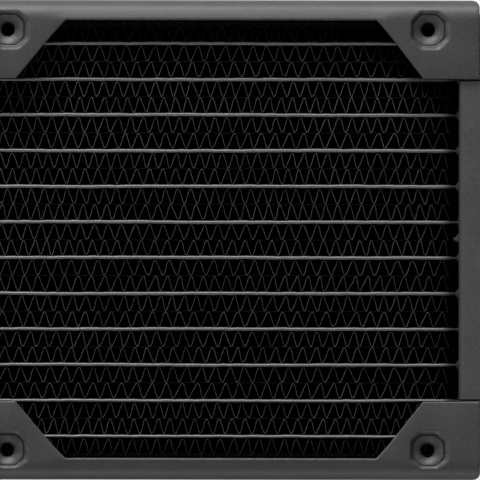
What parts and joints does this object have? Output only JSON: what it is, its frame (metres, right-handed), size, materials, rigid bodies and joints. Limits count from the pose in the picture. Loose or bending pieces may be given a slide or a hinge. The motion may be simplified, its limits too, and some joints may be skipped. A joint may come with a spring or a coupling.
{
  "type": "liquid cooling radiator",
  "caption": "Flat rectangular tube-and-fin radiator with an end tank on each side, folded side rails, tapped fan plates on both faces and two threaded ports.",
  "frame": {"origin": "centre of the bounding box in X and Y, on the plane of the lower fan face", "axes": "+X along the core towards the return tank, +Y across the core towards the left rail, +Z through the thickness towards the upper fan face"},
  "size_m": [0.279, 0.12, 0.03],
  "materials": {
    "rail_paint": "satin black paint on folded steel, with a faint orange-peel",
    "tank_paint": "satin black paint on soldered sheet",
    "core_paint": "thin matt black paint on sheet",
    "tube_paint": "thin black paint on flat tube",
    "fin_paint": "thin black paint on folded foil",
    "port_metal": "black-coated turned brass"
  },
  "bodies": {
    "root": {"side_rail_left": "rail_paint", "side_rail_right": "rail_paint", "core_side_plate_left": "core_paint", "core_side_plate_right": "core_paint", "return_tank": "tank_paint", "supply_tank": "tank_paint", "return_header": "tank_paint", "supply_header": "tank_paint", "flow_divider": "tank_paint", "inlet_port_bushing": "port_metal", "outlet_port_bushing": "port_metal", "fin_splitters": "fin_paint", "tube_01": "tube_paint", "tube_02": "tube_paint", "tube_03": "tube_paint", "tube_04": "tube_paint", "tube_05": "tube_paint", "tube_06": "tube_paint", "tube_07": "tube_paint", "tube_08": "tube_paint", "tube_09": "tube_paint", "tube_10": "tube_paint", "tube_11": "tube_paint", "tube_12": "tube_paint", "fin_strip_01": "fin_paint", "fin_strip_02": "fin_paint", "fin_strip_03": "fin_paint", "fin_strip_04": "fin_paint", "fin_strip_05": "fin_paint", "fin_strip_06": "fin_paint", "fin_strip_07": "fin_paint", "fin_strip_08": "fin_paint", "fin_strip_09": "fin_paint", "fin_strip_10": "fin_paint", "fin_strip_11": "fin_paint", "fin_strip_12": "fin_paint", "fin_strip_13": "fin_paint", "fin_strip_14": "fin_paint", "fin_strip_15": "fin_paint", "fin_strip_16": "fin_paint", "fin_strip_17": "fin_paint", "fin_strip_18": "fin_paint", "fin_strip_19": "fin_paint", "fin_strip_20": "fin_paint", "fin_strip_21": "fin_paint", "fin_strip_22": "fin_paint", "fin_strip_23": "fin_paint", "fin_strip_24": "fin_paint", "fin_strip_25": "fin_paint", "fin_strip_26": "fin_paint"}
  },
  "joints": []
}
